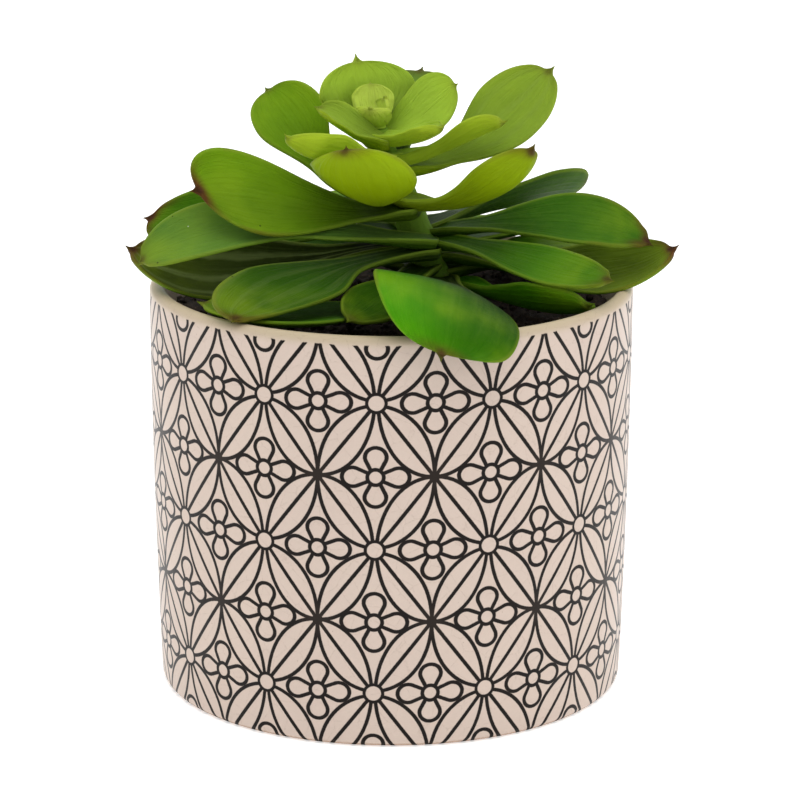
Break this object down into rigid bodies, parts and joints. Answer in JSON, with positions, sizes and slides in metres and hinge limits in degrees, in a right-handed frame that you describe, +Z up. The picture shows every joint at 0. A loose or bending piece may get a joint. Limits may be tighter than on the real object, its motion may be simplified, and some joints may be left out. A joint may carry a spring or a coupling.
{
  "type": "potted succulent",
  "caption": "Succulent rosette with spoon-shaped leaves in whorls on a short leaning stem, standing in soil in a round glazed ceramic pot printed with a lattice of circles and petals.",
  "frame": {"origin": "centre of the pot's flat base", "axes": "+Z up from the base to the crown, -Y towards the viewer of the picture, +X to the picture's right"},
  "size_m": [0.1371, 0.1266, 0.1571],
  "materials": {
    "glaze": "gloss",
    "soil": "matte",
    "stem": "satin",
    "crown": "satin",
    "leaf": "satin"
  },
  "bodies": {
    "root": {"pot": "glaze", "soil": "soil", "stem": "stem", "crown_bud": "crown", "leaf_crown_back": "crown", "leaf_crown_right_back": "crown", "leaf_crown_outer_right_back": "crown", "leaf_crown_left": "crown", "leaf_crown_right_front": "crown", "leaf_crown_front_left": "crown", "leaf_crown_right": "crown", "leaf_upper_left_back": "leaf", "leaf_upper_right": "leaf", "leaf_upper_front": "leaf", "leaf_upper_right_front": "leaf", "leaf_upper_back": "leaf", "leaf_middle_big_left": "leaf", "leaf_middle_long_left": "leaf", "leaf_middle_far_left": "leaf", "leaf_middle_right_upper": "leaf", "leaf_middle_right": "leaf", "leaf_middle_right_back": "leaf", "leaf_middle_back_right": "leaf", "leaf_middle_back_left": "leaf", "leaf_lower_left": "leaf", "leaf_lower_front_left": "leaf", "leaf_lower_under_front_left": "leaf", "leaf_lower_front": "leaf", "leaf_lower_small_front": "leaf", "leaf_lower_front_right": "leaf", "leaf_lower_far_right": "leaf", "leaf_lower_back_right": "leaf", "leaf_lower_back": "leaf", "leaf_lower_back_left": "leaf"}
  },
  "joints": []
}
